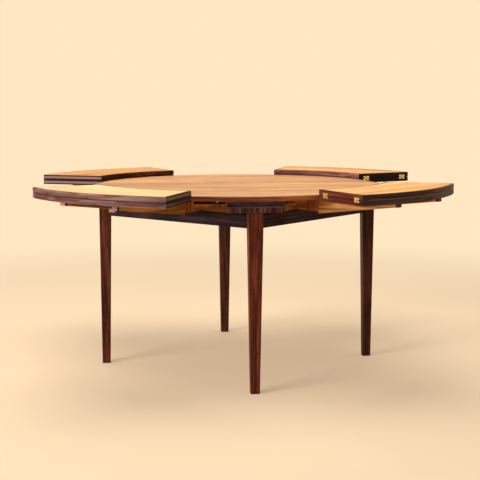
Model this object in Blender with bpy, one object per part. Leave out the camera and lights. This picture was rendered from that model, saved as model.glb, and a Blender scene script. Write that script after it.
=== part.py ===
"""A round dining table with four double leaves, drawn out and still folded.

The origin is on the floor under the centre. The legs stand on the X and Y axes, the leaves between them.
Each leaf is modelled in its own frame: X outward along the leaf's middle line, Y counter-clockwise, Z up.
"""
import math

import bmesh
import bpy
from mathutils import Matrix, Vector

# Driving dimensions, in metres
TABLE_HEIGHT = 0.735
TOP_RADIUS = 0.590
TOP_THICKNESS = 0.018
LEAF_DEPTH = 0.270
LEAF_CLEARANCE = 0.017
LAYER_THICKNESS = 0.0195
LAYER_GAP = 0.001
LEAF_PROUD = 0.0015
END_GAP = 0.001
FREE_END_SETBACK = 0.001
TOP_LIPPING = 0.009
EASED_EDGE = 0.0012
TOUCH = 0.0003

# The slope that the leaves climb as they are drawn out; stored, they lie this far inside the rim
SLOPE = math.radians(7.3)
STORED_INSET = 0.058

# Legs
LEG_INSET = 0.046
LEG_TOP_WIDTH = 0.058
LEG_TOP_DEPTH = 0.050
LEG_FOOT_WIDTH = 0.034
LEG_FOOT_DEPTH = 0.033
LEG_OUTER_LEAN = 0.004
LEG_EDGE = 0.002

# Aprons, measured down from the top's underside
APRON_DROP = 0.103
APRON_HEIGHT = 0.0495
APRON_THICKNESS = 0.020
APRON_EDGE = 0.0015

# Blocks over the legs, which fill the rim between stored leaves, and their stems behind the legs
BLOCK_WIDTH = 0.210
BLOCK_HEIGHT = 0.041
BLOCK_RIM_INSET = 0.006
BLOCK_SIDE_DEPTH = 0.018
BLOCK_REACH = 0.065
BLOCK_INNER_WIDTH = 0.110
BLOCK_REBATE = 0.006
BLOCK_REBATE_HEIGHT = 0.021
BLOCK_EDGE = 0.0012
STEM_REACH = 0.082
STEM_SETBACK = 0.003

# Pegs that keep the loose top in line
PEG_RADIUS = 0.006
PEG_LENGTH = 0.086
PEG_INSET = 0.050
PEG_CLEARANCE = 0.0006

# Runners under each leaf: a sloping bar and its packer, a board that reaches inward, and an end cap
RUNNER_OFFSET = 0.137
RUNNER_WIDTH = 0.026
RUNNER_HEIGHT = 0.030
RUNNER_REACH = 0.104
RUNNER_SETBACKS = {"free_end": 0.031, "hinge_end": 0.0435}
RUNNER_DROP = 0.0585
RUNNER_EDGE = 0.0012
BOARD_REACH = 0.160
BOARD_RAISE = 0.007
BOARD_INSET = 0.007
PACKER_SETBACK = 0.012
TIP_LENGTH = 0.010
TIP_HEIGHT = 0.0145

# Guide rails fixed to the frame, with a tongue in a groove of each runner
GUIDE_WIDTH = 0.0255
GUIDE_RAISE = 0.003
GUIDE_HEIGHT = 0.032
GUIDE_SIDE_CLEARANCE = 0.0005
TONGUE_RAISE = 0.0045
TONGUE_HEIGHT = 0.004
TONGUE_DEPTH = 0.0065
TONGUE_REACH = 0.040
GROOVE_CLEARANCE = 0.0004
STACK_CLEARANCE = 0.001

# The square box in the middle, which ties the guide rails together and lies under the stored leaves
BOX_SHARE = 0.386
BOX_WALL = 0.018
BOX_FLOOR = 0.012
BOX_FLOOR_RAISE = 0.002

# Hinges between the two layers, two on each hinge end, measured to their middles from the leaf's two arcs
HINGE_FROM_INNER = 0.041
HINGE_FROM_OUTER = 0.034
HINGE_WIDTH = 0.030
HINGE_PLATE_HEIGHT = 0.009
HINGE_PLATE_THICKNESS = 0.002
HINGE_KNUCKLE_RADIUS = 0.002
HINGE_KNUCKLE_LENGTH = 0.010
HINGE_BORE_RADIUS = 0.0012
HINGE_PIN_RADIUS = 0.0008
HINGE_CLEARANCE = 0.0004

# Counts
TOP_SEGMENTS = 144
LEAF_SEGMENTS = 20
ROUND_SEGMENTS = 12

# Heights and radii worked out from the sizes above
RING_INNER_RADIUS = TOP_RADIUS + LEAF_CLEARANCE
RING_OUTER_RADIUS = RING_INNER_RADIUS + LEAF_DEPTH
RING_MIDDLE = (RING_INNER_RADIUS + RING_OUTER_RADIUS) / 2
HALF_SECTOR = math.radians(22.5)
TOP_UNDERSIDE = TABLE_HEIGHT - TOP_THICKNESS
LEAF_FACE = TABLE_HEIGHT + LEAF_PROUD
LEAF_UNDERSIDE = LEAF_FACE - LAYER_THICKNESS
HINGE_LEVEL = LEAF_FACE + LAYER_GAP / 2
FLAP_FACE = LEAF_FACE + LAYER_GAP
FLAP_BACK = FLAP_FACE + LAYER_THICKNESS
HINGE_PLACES = {"inner": RING_INNER_RADIUS + HINGE_FROM_INNER, "outer": RING_OUTER_RADIUS - HINGE_FROM_OUTER}
LEG_RADIUS = TOP_RADIUS - LEG_INSET
APRON_BOTTOM = TOP_UNDERSIDE - APRON_DROP
APRON_TOP = APRON_BOTTOM + APRON_HEIGHT
APRON_MIDDLE = LEG_RADIUS * math.cos(math.radians(45))
BLOCK_TOP = TOP_UNDERSIDE - TOUCH
BLOCK_BOTTOM = BLOCK_TOP - BLOCK_HEIGHT
BLOCK_OUTER_RADIUS = TOP_RADIUS - BLOCK_RIM_INSET
BLOCK_INNER_RADIUS = LEG_RADIUS - BLOCK_REACH
STEM_INNER_RADIUS = LEG_RADIUS - STEM_REACH
PEG_PLACE = LEG_RADIUS - PEG_INSET
LEG_HEIGHT = BLOCK_BOTTOM - TOUCH
STORED_TRAVEL = LEAF_DEPTH + STORED_INSET
STACK_STORED_BOTTOM = LEAF_UNDERSIDE - STORED_TRAVEL * math.tan(SLOPE)
RUNNER_INNER_END = RING_INNER_RADIUS - RUNNER_REACH
RUNNER_END_BOTTOM = TOP_UNDERSIDE - RUNNER_DROP
RUNNER_INNER_SIDE = RUNNER_OFFSET - RUNNER_WIDTH / 2
GUIDE_OUTER_SIDE = RUNNER_INNER_SIDE - GUIDE_SIDE_CLEARANCE
GUIDE_OUTER_END = RING_OUTER_RADIUS - STORED_TRAVEL
BOX_OUTER = LEG_RADIUS * BOX_SHARE
BOX_TOP = STACK_STORED_BOTTOM - STACK_CLEARANCE

SIDES = ("front_left", "front_right", "back_right", "back_left")
ENDS = {"free_end": 1, "hinge_end": -1}
UNDERSIDE, UPPER_SIDE = 0, 1
SIDE_ANGLES = {name: math.radians(225 + 90 * k) for k, name in enumerate(SIDES)}
LEGS = ("left", "front", "right", "back")
LEG_ANGLES = {name: math.radians(180 + 90 * k) for k, name in enumerate(LEGS)}

COLOURS = {
    "rosewood": ((0.105, 0.034, 0.021, 1), 0.42, 0.0),
    "rosewood_top": ((0.47, 0.24, 0.145, 1), 0.36, 0.0),
    "rosewood_dark": ((0.045, 0.022, 0.020, 1), 0.45, 0.0),
    "pale_veneer": ((0.78, 0.52, 0.25, 1), 0.5, 0.0),
    "beech": ((0.42, 0.22, 0.07, 1), 0.55, 0.0),
    "brass": ((0.80, 0.58, 0.24, 1), 0.3, 1.0),
}


def clear_scene():
    for thing in list(bpy.data.objects):
        bpy.data.objects.remove(thing, do_unlink=True)


def material(name):
    """The named finish, made once."""
    found = bpy.data.materials.get(name)
    if found:
        return found
    colour, roughness, metallic = COLOURS[name]
    made = bpy.data.materials.new(name)
    made.use_nodes = True
    shader = made.node_tree.nodes["Principled BSDF"]
    shader.inputs["Base Color"].default_value = colour
    shader.inputs["Roughness"].default_value = roughness
    shader.inputs["Metallic"].default_value = metallic
    return made


def turned(angle):
    """The frame of a leaf or leg at this angle round the table."""
    return Matrix.Rotation(angle, 4, "Z")


def carrier(name, matrix):
    """An empty that carries the pieces of one moving body."""
    empty = bpy.data.objects.new(name, None)
    bpy.context.scene.collection.objects.link(empty)
    empty.matrix_world = matrix
    return empty, matrix


def add(name, bm, finish, frame=Matrix(), held_by=None):
    """Turns a bmesh, drawn in frame, into an object that its carrier holds."""
    bmesh.ops.recalc_face_normals(bm, faces=bm.faces)
    mesh = bpy.data.meshes.new(name)
    bm.to_mesh(mesh)
    bm.free()
    thing = bpy.data.objects.new(name, mesh)
    bpy.context.scene.collection.objects.link(thing)
    if held_by:
        empty, place = held_by
        into_place = place.inverted() @ frame
        mesh.transform(into_place)
        if into_place.determinant() < 0:
            mesh.flip_normals()
        thing.parent = empty
    else:
        thing.matrix_world = frame
    if finish:
        mesh.materials.append(material(finish))
    return thing


def add_cutter(name, bm, frame=Matrix(), held_by=None):
    cutter = add(name, bm, None, frame, held_by)
    cutter.hide_render = True
    cutter.display_type = "WIRE"
    return cutter


def combine(thing, operation, cutter):
    modifier = thing.modifiers.new(operation.lower(), "BOOLEAN")
    modifier.operation = operation
    modifier.object = cutter
    modifier.solver = "EXACT"


def prism(bm, outline, low, high, lift=None, top_outline=None):
    """A solid between two heights over an outline; lift turns (x, y, z) into the place of each point."""
    lift = lift or (lambda x, y, z: (x, y, z))
    bottom = [bm.verts.new(lift(x, y, low)) for x, y in outline]
    top = [bm.verts.new(lift(x, y, high)) for x, y in top_outline or outline]
    faces = [bm.faces.new(bottom[::-1]), bm.faces.new(top)]
    count = len(outline)
    for k in range(count):
        n = (k + 1) % count
        faces.append(bm.faces.new((bottom[k], bottom[n], top[n], top[k])))
    return faces


def frame_ring(bm, outer, inner, low, high, lift=None):
    """A closed band between two outlines with as many points each. Returns its outer rim edges."""
    lift = lift or (lambda x, y, z: (x, y, z))
    rows = [[bm.verts.new(lift(x, y, z)) for x, y in line] for line in (outer, inner) for z in (low, high)]
    outer_low, outer_high, inner_low, inner_high = rows
    count = len(outer)
    rim = []
    for k in range(count):
        n = (k + 1) % count
        bm.faces.new((outer_low[k], outer_low[n], outer_high[n], outer_high[k]))
        bm.faces.new((inner_high[k], inner_high[n], inner_low[n], inner_low[k]))
        bm.faces.new((outer_high[k], outer_high[n], inner_high[n], inner_high[k]))
        bm.faces.new((inner_low[k], inner_low[n], outer_low[n], outer_low[k]))
        rim.append(bm.edges.get((outer_low[k], outer_low[n])))
        rim.append(bm.edges.get((outer_high[k], outer_high[n])))
    return rim


def ease(bm, edges, width):
    """Takes the sharpness off these edges."""
    bmesh.ops.bevel(bm, geom=edges, offset=width, segments=1, affect="EDGES", clamp_overlap=True)


def box(bm, low, high):
    outline = [(low[0], low[1]), (high[0], low[1]), (high[0], high[1]), (low[0], high[1])]
    return prism(bm, outline, low[2], high[2])


def circle(radius, segments, centre=(0.0, 0.0)):
    steps = [2 * math.pi * k / segments for k in range(segments)]
    return [(centre[0] + radius * math.cos(t), centre[1] + radius * math.sin(t)) for t in steps]


def turned_solid(bm, profile, centre, lift=None):
    """A round solid from (radius, height) points, closed at both ends; lift places it as in prism."""
    lift = lift or (lambda x, y, z: (x, y, z))
    rings = []
    for radius, height in profile:
        rings.append([bm.verts.new(lift(x, y, height)) for x, y in circle(radius, ROUND_SEGMENTS, centre)])
    bm.faces.new(rings[0][::-1])
    bm.faces.new(rings[-1])
    for lower, upper in zip(rings, rings[1:]):
        for k in range(ROUND_SEGMENTS):
            n = (k + 1) % ROUND_SEGMENTS
            bm.faces.new((lower[k], lower[n], upper[n], upper[k]))


def sector(setback=0.0):
    """The outline of a leaf layer in the leaf's frame, with its free end set back."""
    outline = []
    for radius, order in ((RING_OUTER_RADIUS, 1), (RING_INNER_RADIUS, -1)):
        hinge_turn = -HALF_SECTOR + math.asin(END_GAP / 2 / radius)
        free_turn = HALF_SECTOR - math.asin((END_GAP / 2 + setback) / radius)
        turns = [hinge_turn + (free_turn - hinge_turn) * k / LEAF_SEGMENTS for k in range(LEAF_SEGMENTS + 1)]
        outline += [(radius * math.cos(t), radius * math.sin(t)) for t in turns[::order]]
    return outline


def runner_line(u):
    """Height of the runners' lower edge at a distance u from the centre."""
    return RUNNER_END_BOTTOM + (u - RUNNER_INNER_END) * math.tan(SLOPE)


def along_slope(low_u, high_u, low_raise, high_raise):
    """A strip that follows the runners' slope, as (u, z) points."""
    return [
        (low_u, runner_line(low_u) + low_raise),
        (high_u, runner_line(high_u) + low_raise),
        (high_u, runner_line(high_u) + high_raise),
        (low_u, runner_line(low_u) + high_raise),
    ]


def side_prism(bm, outline, low_w, high_w):
    """A solid whose outline is drawn in (u, z) and that runs across the leaf."""
    return prism(bm, outline, low_w, high_w, lambda u, z, w: (u, w, z))


def build_top(held_by):
    bm = bmesh.new()
    prism(bm, circle(TOP_RADIUS - TOP_LIPPING - TOUCH, TOP_SEGMENTS), TOP_UNDERSIDE, TABLE_HEIGHT)
    add("top_panel", bm, "rosewood_top", held_by=held_by)

    bm = bmesh.new()
    outer = circle(TOP_RADIUS, TOP_SEGMENTS)
    inner = circle(TOP_RADIUS - TOP_LIPPING, TOP_SEGMENTS)
    rim = frame_ring(bm, outer, inner, TOP_UNDERSIDE, TABLE_HEIGHT)
    ease(bm, rim, EASED_EDGE)
    add("top_edge_band", bm, "rosewood", held_by=held_by)

    peg_top = TOP_UNDERSIDE - TOUCH
    nose = PEG_RADIUS / 3
    profile = (
        (PEG_RADIUS - nose, peg_top - PEG_LENGTH),
        (PEG_RADIUS, peg_top - PEG_LENGTH + nose),
        (PEG_RADIUS, peg_top),
    )
    for name, angle in LEG_ANGLES.items():
        bm = bmesh.new()
        turned_solid(bm, profile, (PEG_PLACE, 0.0))
        add(f"top_peg_{name}", bm, "beech", turned(angle), held_by)


def build_leg(name, frame):
    """A leg that tapers to its foot; its outer face leans in a little towards the foot."""
    bm = bmesh.new()
    outer_top = LEG_RADIUS + LEG_TOP_DEPTH / 2
    outer_foot = outer_top - LEG_OUTER_LEAN
    rows = []
    for height, outer, width, depth in (
        (0.0, outer_foot, LEG_FOOT_WIDTH, LEG_FOOT_DEPTH),
        (LEG_HEIGHT, outer_top, LEG_TOP_WIDTH, LEG_TOP_DEPTH),
    ):
        inner = outer - depth
        corners = ((inner, -width / 2), (outer, -width / 2), (outer, width / 2), (inner, width / 2))
        rows.append([bm.verts.new((x, y, height)) for x, y in corners])
    foot, top = rows
    bm.faces.new(foot[::-1])
    bm.faces.new(top)
    uprights = []
    for k in range(len(foot)):
        n = (k + 1) % len(foot)
        bm.faces.new((foot[k], foot[n], top[n], top[k]))
        uprights.append(bm.edges.get((foot[k], top[k])))
    ease(bm, uprights, LEG_EDGE)
    add(f"leg_{name}", bm, "rosewood", frame)


def apron_outline(half_length):
    """An apron seen from above, with its ends cut along the legs' side faces."""
    outer = APRON_MIDDLE + APRON_THICKNESS / 2
    inner = APRON_MIDDLE - APRON_THICKNESS / 2
    return [(inner, -half_length(inner)), (outer, -half_length(outer)),
            (outer, half_length(outer)), (inner, half_length(inner))]


def build_apron(side, frame):
    """A straight rail between two legs, whose ends follow the legs' taper."""
    leg_side = leg_half_width(APRON_BOTTOM) + TOUCH

    def half_length(u):
        return u - leg_side * math.sqrt(2)

    def follow_legs(u, w, z):
        spread = (leg_half_width(z) - leg_half_width(APRON_BOTTOM)) * math.sqrt(2)
        return (u, w - math.copysign(spread, w), z)

    bm = bmesh.new()
    faces = prism(bm, apron_outline(half_length), APRON_BOTTOM, APRON_TOP, follow_legs)
    long_edges = [edge for edge in faces[0].edges if abs(edge.verts[0].co.x - edge.verts[1].co.x) < TOUCH]
    ease(bm, long_edges, APRON_EDGE)
    add(f"apron_{side}", bm, "rosewood_dark", frame)


def leg_half_width(height):
    """Half of a leg's width at a height."""
    share = height / LEG_HEIGHT
    return (LEG_FOOT_WIDTH + (LEG_TOP_WIDTH - LEG_FOOT_WIDTH) * share) / 2


def stem_outline():
    """The stem of a block fills the corner between a leg's inner face and the two aprons."""
    leg_inner = LEG_RADIUS - LEG_TOP_DEPTH / 2 - TOUCH
    apron_inner = LEG_RADIUS - APRON_THICKNESS / math.sqrt(2) - TOUCH * math.sqrt(2)
    near_half = apron_inner - leg_inner
    far_half = apron_inner - STEM_INNER_RADIUS
    return [(STEM_INNER_RADIUS, -far_half), (leg_inner, -near_half), (leg_inner, near_half),
            (STEM_INNER_RADIUS, far_half)]


def build_block(name, frame):
    """The block over a leg: it carries the loose top, and its outer edge copies the two layers of a leaf."""
    half = BLOCK_WIDTH / 2
    corner_angle = math.asin(half / BLOCK_OUTER_RADIUS)
    steps = [4 * k / LEAF_SEGMENTS - 1 for k in range(LEAF_SEGMENTS // 2 + 1)]
    arc = [(BLOCK_OUTER_RADIUS * math.cos(t * corner_angle), BLOCK_OUTER_RADIUS * math.sin(t * corner_angle))
           for t in steps]
    shoulder = BLOCK_OUTER_RADIUS * math.cos(corner_angle) - BLOCK_SIDE_DEPTH
    outline = arc + [(shoulder, half), (BLOCK_INNER_RADIUS, BLOCK_INNER_WIDTH / 2),
                     (BLOCK_INNER_RADIUS, -BLOCK_INNER_WIDTH / 2), (shoulder, -half)]
    bm = bmesh.new()
    faces = prism(bm, outline, BLOCK_BOTTOM, BLOCK_TOP)
    front_edges = [edge for edge in faces[0].edges if min(v.co.x for v in edge.verts) > shoulder + TOUCH]
    ease(bm, front_edges, BLOCK_EDGE)
    block = add(f"over_leg_block_{name}", bm, "rosewood_dark", frame)

    bm = bmesh.new()
    prism(bm, stem_outline(), APRON_BOTTOM + STEM_SETBACK, BLOCK_BOTTOM + BLOCK_REBATE)
    combine(block, "UNION", add_cutter(f"cut_stem_{name}", bm, frame))

    bm = bmesh.new()
    outer = BLOCK_OUTER_RADIUS + BLOCK_REBATE
    inner = BLOCK_OUTER_RADIUS - BLOCK_REBATE
    far = [(outer * math.cos(2 * t * corner_angle), outer * math.sin(2 * t * corner_angle)) for t in steps]
    near = [(inner * math.cos(2 * t * corner_angle), inner * math.sin(2 * t * corner_angle))
            for t in reversed(steps)]
    prism(bm, far + near, BLOCK_TOP - BLOCK_REBATE_HEIGHT, BLOCK_TOP + BLOCK_REBATE)
    combine(block, "DIFFERENCE", add_cutter(f"cut_rebate_{name}", bm, frame))

    bm = bmesh.new()
    bore = PEG_RADIUS + PEG_CLEARANCE
    turned_solid(bm, ((bore, APRON_BOTTOM - PEG_RADIUS), (bore, BLOCK_TOP + PEG_RADIUS)), (PEG_PLACE, 0.0))
    combine(block, "DIFFERENCE", add_cutter(f"cut_peg_bore_{name}", bm, frame))


def stretch(sign, low_w, high_w):
    """A stretch of width on one side of a leaf's middle line, low end first."""
    return sorted((sign * low_w, sign * high_w))


def box_wall_line(w):
    """Where the box's wall crosses a leaf's frame, at a distance w from its middle line."""
    return math.sqrt(2) * (BOX_OUTER + TOUCH) - abs(w)


def guide_outline():
    """A guide rail from the side: it follows the slope, rests on the apron and ends with the stored leaf."""
    ceiling = STACK_STORED_BOTTOM - STACK_CLEARANCE
    top_raise = GUIDE_RAISE + GUIDE_HEIGHT
    seat = APRON_TOP + TOUCH
    apron_inner = APRON_MIDDLE - APRON_THICKNESS / 2 - TOUCH
    lift_off = RUNNER_INNER_END + (seat - GUIDE_RAISE - RUNNER_END_BOTTOM) / math.tan(SLOPE)
    bend = RUNNER_INNER_END + (ceiling - top_raise - RUNNER_END_BOTTOM) / math.tan(SLOPE)
    inner_end = box_wall_line(GUIDE_OUTER_SIDE)
    return [
        (inner_end, runner_line(inner_end) + GUIDE_RAISE),
        (apron_inner, runner_line(apron_inner) + GUIDE_RAISE),
        (apron_inner, seat),
        (lift_off, seat),
        (GUIDE_OUTER_END, runner_line(GUIDE_OUTER_END) + GUIDE_RAISE),
        (GUIDE_OUTER_END, ceiling),
        (bend, ceiling),
        (inner_end, runner_line(inner_end) + top_raise),
    ]


def mitred(u, z, w):
    """Moves a rail's inner end along the slope until it meets the wall of the box."""
    over = max(box_wall_line(w) - u, 0.0)
    return (u + over, w, z + over * math.tan(SLOPE))


def build_guide(side, end, sign, frame):
    """A guide rail with a tongue along the side that faces its runner."""
    bm = bmesh.new()
    prism(bm, guide_outline(), *stretch(sign, GUIDE_OUTER_SIDE - GUIDE_WIDTH, GUIDE_OUTER_SIDE), mitred)
    rail = add(f"guide_rail_{side}_{end}", bm, "beech", frame)

    bm = bmesh.new()
    inner_end = GUIDE_OUTER_END - TONGUE_REACH
    tongue = along_slope(inner_end, GUIDE_OUTER_END, TONGUE_RAISE, TONGUE_RAISE + TONGUE_HEIGHT)
    side_prism(bm, tongue, *stretch(sign, GUIDE_OUTER_SIDE - TONGUE_DEPTH, GUIDE_OUTER_SIDE + TONGUE_DEPTH))
    combine(rail, "UNION", add_cutter(f"cut_tongue_{side}_{end}", bm, frame))


def square(half):
    return [(half, half), (-half, half), (-half, -half), (half, -half)]


def build_centre_box():
    """An open box, square to the legs: four walls round a floor that is let into them."""
    bm = bmesh.new()
    inner = BOX_OUTER - BOX_WALL
    frame_ring(bm, square(BOX_OUTER), square(inner), APRON_BOTTOM, BOX_TOP)
    centre_box = add("centre_box", bm, "beech")
    bm = bmesh.new()
    floor = APRON_BOTTOM + BOX_FLOOR_RAISE
    prism(bm, square(inner + BOX_WALL / 2), floor, floor + BOX_FLOOR)
    combine(centre_box, "UNION", add_cutter("cut_box_floor", bm))


def runner_outline(end):
    """A runner from the side: a bar on the slope, its packer up to the leaf and its end cap."""
    ceiling = LEAF_UNDERSIDE - TOUCH
    packer = RING_INNER_RADIUS + PACKER_SETBACK
    outer = RING_OUTER_RADIUS - RUNNER_SETBACKS[end]
    return [
        (RUNNER_INNER_END, RUNNER_END_BOTTOM),
        (outer, runner_line(outer)),
        (outer + TIP_LENGTH, runner_line(outer)),
        (outer + TIP_LENGTH, runner_line(outer) + TIP_HEIGHT),
        (outer, runner_line(outer) + TIP_HEIGHT),
        (outer, ceiling),
        (packer, ceiling),
        (packer, runner_line(packer) + RUNNER_HEIGHT),
        (RUNNER_INNER_END, RUNNER_END_BOTTOM + RUNNER_HEIGHT),
    ]


def board_outline():
    """The board on a runner from the side: level as far as the runner, then inside it."""
    outer = RING_INNER_RADIUS + 2 * PACKER_SETBACK
    return [
        (RING_INNER_RADIUS - BOARD_REACH, RUNNER_END_BOTTOM + BOARD_RAISE),
        (RUNNER_INNER_END, RUNNER_END_BOTTOM + BOARD_RAISE),
        (outer, runner_line(outer) + BOARD_RAISE),
        (outer, LEAF_UNDERSIDE - TOUCH),
        (RING_INNER_RADIUS - BOARD_REACH, LEAF_UNDERSIDE - TOUCH),
    ]


def build_runner(side, end, sign, frame, held_by):
    """A runner with its board under the leaf, and the groove for the guide rail."""
    bm = bmesh.new()
    half = RUNNER_WIDTH / 2
    side_prism(bm, runner_outline(end), *stretch(sign, RUNNER_OFFSET - half, RUNNER_OFFSET + half))
    lower_edges = [edge for edge in bm.edges
                   if abs(edge.verts[0].co.y - edge.verts[1].co.y) < TOUCH
                   and max(v.co.z - runner_line(v.co.x) for v in edge.verts) < TOUCH]
    ease(bm, lower_edges, RUNNER_EDGE)
    runner = add(f"runner_{side}_{end}", bm, "beech", frame, held_by)

    bm = bmesh.new()
    board_half = half - BOARD_INSET
    side_prism(bm, board_outline(), *stretch(sign, RUNNER_OFFSET - board_half, RUNNER_OFFSET + board_half))
    combine(runner, "UNION", add_cutter(f"cut_board_{side}_{end}", bm, frame, held_by))

    bm = bmesh.new()
    outer_end = RING_OUTER_RADIUS - RUNNER_SETBACKS[end] - 2 * TIP_LENGTH
    groove = along_slope(RUNNER_INNER_END - TIP_LENGTH, outer_end, TONGUE_RAISE - GROOVE_CLEARANCE,
                         TONGUE_RAISE + TONGUE_HEIGHT + GROOVE_CLEARANCE)
    depth = GUIDE_OUTER_SIDE + TONGUE_DEPTH + GROOVE_CLEARANCE
    side_prism(bm, groove, *stretch(sign, RUNNER_INNER_SIDE - TONGUE_DEPTH, depth))
    combine(runner, "DIFFERENCE", add_cutter(f"cut_groove_{side}_{end}", bm, frame, held_by))


def hinge_frame():
    """The hinge line in the leaf's frame: X runs outward along it, Y away from the leaf's end face."""
    return Matrix.Rotation(-HALF_SECTOR, 4, "Z") @ Matrix.Scale(-1, 4, Vector((0, 1, 0)))


def along_hinge(y, z, x):
    """Lays a shape drawn across the hinge line along it."""
    return (x, y, z)


def cut_recesses(board, name, frame, held_by):
    """Pockets in a layer's end face for the plates and the knuckles of its hinges."""
    half = HINGE_WIDTH / 2 + HINGE_CLEARANCE
    deep = END_GAP / 2 + HINGE_PLATE_THICKNESS + HINGE_CLEARANCE
    reach = HINGE_PLATE_HEIGHT + HINGE_CLEARANCE
    bm = bmesh.new()
    for middle in HINGE_PLACES.values():
        box(bm, (middle - half, -deep, HINGE_LEVEL - reach), (middle + half, deep, HINGE_LEVEL + reach))
    combine(board, "DIFFERENCE", add_cutter(f"cut_recesses_{name}", bm, frame @ hinge_frame(), held_by))


def plate_outline(middle, up):
    """A hinge plate from the front, with tabs to its own knuckles and notches round the other half's."""
    half = HINGE_WIDTH / 2
    relief = HINGE_KNUCKLE_RADIUS + HINGE_CLEARANCE
    inner_half = half - HINGE_KNUCKLE_LENGTH + up * -TOUCH / 2
    outer_reach, inner_reach = (TOUCH, relief) if up < 0 else (relief, TOUCH)
    edge = [(-half, outer_reach), (-inner_half, outer_reach), (-inner_half, inner_reach),
            (inner_half, inner_reach), (inner_half, outer_reach), (half, outer_reach),
            (half, HINGE_PLATE_HEIGHT), (-half, HINGE_PLATE_HEIGHT)]
    return [(middle + x, HINGE_LEVEL + up * z) for x, z in edge]


def build_hinge_half(name, middle, up, frame, held_by):
    """A plate in the end face: up is -1 for the leaf, with two knuckles and the pin, or 1 for the flap."""
    place = frame @ hinge_frame()
    bm = bmesh.new()
    back = -END_GAP / 2 - HINGE_PLATE_THICKNESS
    prism(bm, plate_outline(middle, up), back, -END_GAP / 2, lambda x, z, y: (x, y, z))
    half = add(name, bm, "brass", place, held_by)

    knuckle = HINGE_KNUCKLE_RADIUS
    outer_end = HINGE_WIDTH / 2
    inner_end = outer_end - HINGE_KNUCKLE_LENGTH + up * -TOUCH / 2
    across = (0.0, HINGE_LEVEL)
    bm = bmesh.new()
    if up < 0:
        profile = [(knuckle, -outer_end), (knuckle, -inner_end), (HINGE_PIN_RADIUS, -inner_end),
                   (HINGE_PIN_RADIUS, inner_end), (knuckle, inner_end), (knuckle, outer_end)]
    else:
        profile = [(knuckle, -inner_end), (knuckle, inner_end)]
    turned_solid(bm, [(radius, middle + x) for radius, x in profile], across, along_hinge)
    combine(half, "UNION", add_cutter(f"cut_knuckles_{name}", bm, place, held_by))
    if up > 0:
        bm = bmesh.new()
        bore = [(HINGE_BORE_RADIUS, middle - outer_end), (HINGE_BORE_RADIUS, middle + outer_end)]
        turned_solid(bm, bore, across, along_hinge)
        combine(half, "DIFFERENCE", add_cutter(f"cut_bore_{name}", bm, place, held_by))


def build_layer(name, low, high, back, frame, held_by):
    """One layer of a leaf, pocketed for its hinges; back says which broad face is the pale one."""
    bm = bmesh.new()
    outlines = [sector(), sector()]
    outlines[back] = sector(FREE_END_SETBACK)
    faces = prism(bm, outlines[0], low, high, top_outline=outlines[1])
    faces[back].material_index = 1
    ease(bm, list(faces[0].edges) + list(faces[1].edges), EASED_EDGE)
    board = add(name, bm, "rosewood", frame, held_by)
    board.data.materials.append(material("pale_veneer"))
    cut_recesses(board, name, frame, held_by)


def build_leaf(side, angle):
    """A double leaf: the lower layer slides on its runners, and the flap folds over about the hinge line."""
    frame = turned(angle)
    leaf = carrier(f"carry_leaf_{side}", frame @ Matrix.Translation((RING_MIDDLE, 0.0, LEAF_FACE)))
    on_hinge = turned(angle - HALF_SECTOR) @ Matrix.Translation((RING_MIDDLE, 0.0, HINGE_LEVEL))
    flap = carrier(f"carry_flap_{side}", on_hinge)
    build_layer(f"leaf_{side}", LEAF_UNDERSIDE, LEAF_FACE, UNDERSIDE, frame, leaf)
    build_layer(f"flap_{side}", FLAP_FACE, FLAP_BACK, UPPER_SIDE, frame, flap)
    for end, sign in ENDS.items():
        build_runner(side, end, sign, frame, leaf)
    for place, middle in HINGE_PLACES.items():
        build_hinge_half(f"leaf_hinge_{side}_{place}", middle, -1, frame, leaf)
        build_hinge_half(f"flap_hinge_{side}_{place}", middle, 1, frame, flap)


def build_table():
    clear_scene()
    top = carrier("carry_top", Matrix.Translation((0.0, 0.0, TOP_UNDERSIDE)))
    build_top(top)
    for name, angle in LEG_ANGLES.items():
        build_leg(name, turned(angle))
        build_block(name, turned(angle))
    for side, angle in SIDE_ANGLES.items():
        build_apron(side, turned(angle))
        for end, sign in ENDS.items():
            build_guide(side, end, sign, turned(angle))
        build_leaf(side, angle)
    build_centre_box()


build_table()
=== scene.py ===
"""Looks for a round dining table with four double leaves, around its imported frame.

Each leaf, leg or apron has its own frame, turned round the table's upright axis: u runs outward, w
sideways and z up. The wood shaders work in these frames, so the grain follows each piece and stays with it
as it moves.
"""
import math

import bmesh
import bpy
from mathutils import Matrix, Vector


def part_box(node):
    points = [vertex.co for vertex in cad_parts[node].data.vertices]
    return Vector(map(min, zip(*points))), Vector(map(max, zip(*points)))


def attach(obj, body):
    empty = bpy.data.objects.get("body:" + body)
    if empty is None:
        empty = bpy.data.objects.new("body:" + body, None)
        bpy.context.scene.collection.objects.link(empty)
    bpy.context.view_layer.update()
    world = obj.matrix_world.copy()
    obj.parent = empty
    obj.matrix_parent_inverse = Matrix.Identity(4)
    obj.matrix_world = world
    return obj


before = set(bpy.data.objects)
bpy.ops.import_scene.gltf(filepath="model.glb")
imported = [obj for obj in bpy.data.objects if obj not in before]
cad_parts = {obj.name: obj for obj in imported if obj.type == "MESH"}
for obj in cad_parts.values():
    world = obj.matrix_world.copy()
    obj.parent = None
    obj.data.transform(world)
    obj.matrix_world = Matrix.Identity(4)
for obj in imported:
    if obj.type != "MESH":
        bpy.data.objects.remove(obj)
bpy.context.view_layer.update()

# Sizes from the frame, in metres
TOP_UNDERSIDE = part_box("top_panel")[0].z
TOP_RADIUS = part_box("top_edge_band")[1].x
LEAF_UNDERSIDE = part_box("leaf_front_left")[0].z
LEAF_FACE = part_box("leaf_front_left")[1].z
FLAP_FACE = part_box("flap_front_left")[0].z
FLAP_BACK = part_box("flap_front_left")[1].z
HINGE_LEVEL = (LEAF_FACE + FLAP_FACE) / 2

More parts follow.
